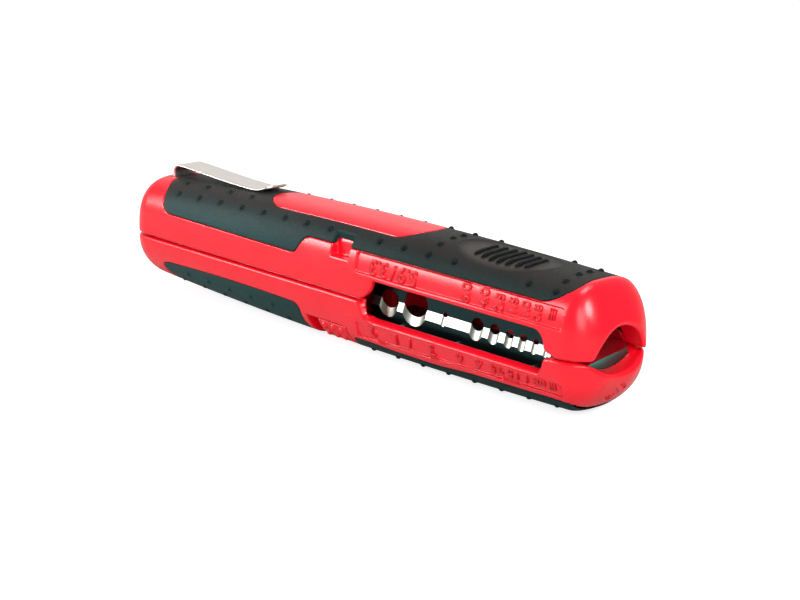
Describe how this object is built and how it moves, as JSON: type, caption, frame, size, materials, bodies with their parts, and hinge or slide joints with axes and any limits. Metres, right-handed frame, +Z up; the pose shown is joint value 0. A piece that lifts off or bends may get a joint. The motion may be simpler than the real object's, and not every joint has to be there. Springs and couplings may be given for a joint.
{
  "type": "wire stripper",
  "caption": "Pen-shaped wire and cable stripper: hinged half shells with soft grips, side blade window, front cable mouth, lock slider and pocket clip.",
  "frame": {"origin": "centre of the underside, on the plane the tool lies on", "axes": "+X along the tool towards the cable mouth, +Z up towards the pocket clip side, Y across with the tool's cutting side at -Y"},
  "size_m": [0.1245, 0.0188, 0.0244],
  "materials": {
    "red_shell": "satin",
    "black_grip": "matte",
    "clip_steel": "satin",
    "blade_steel": "polished",
    "pin_steel": "satin",
    "screw_steel": "satin",
    "spring_steel": "satin",
    "red_slider": "satin",
    "black_insert": "satin"
  },
  "bodies": {
    "lower_jaw": {"lower_shell": "red_shell", "lower_grip_rear": "black_grip", "lower_grip_front": "black_grip", "lower_blade_holder": "black_insert", "lower_strip_blade": "blade_steel", "lower_blade_screws": "screw_steel", "lower_cable_blade": "blade_steel", "lower_cable_screws": "screw_steel", "hinge_pin": "pin_steel", "opening_spring": "spring_steel", "lock_detent_spring": "spring_steel"},
    "upper_jaw": {"upper_shell": "red_shell", "upper_grip": "black_grip", "upper_blade_holder": "black_insert", "upper_strip_blade": "blade_steel", "upper_blade_screws": "screw_steel", "upper_cable_blade": "blade_steel", "upper_cable_screws": "screw_steel"},
    "lock": {"lock_slider": "red_slider"},
    "clip": {"pocket_clip": "clip_steel"}
  },
  "joints": [
    {"name": "jaw_hinge", "type": "hinge", "parent": "lower_jaw", "child": "upper_jaw", "pos_m": [-0.0565, 0, 0.01065], "axis": [0, -1, 0], "range_deg": [0, 6], "deforming": ["opening_spring"]},
    {"name": "lock_slide", "type": "slide", "parent": "lower_jaw", "child": "lock", "axis": [1, 0, 0], "range_m": [-0.0029, 0]},
    {"name": "clip_flex", "type": "hinge", "parent": "upper_jaw", "child": "clip", "pos_m": [-0.0551, 0, 0.0217], "axis": [0, -1, 0], "range_deg": [0, 4], "stiffness_Nm_per_rad": 2}
  ]
}
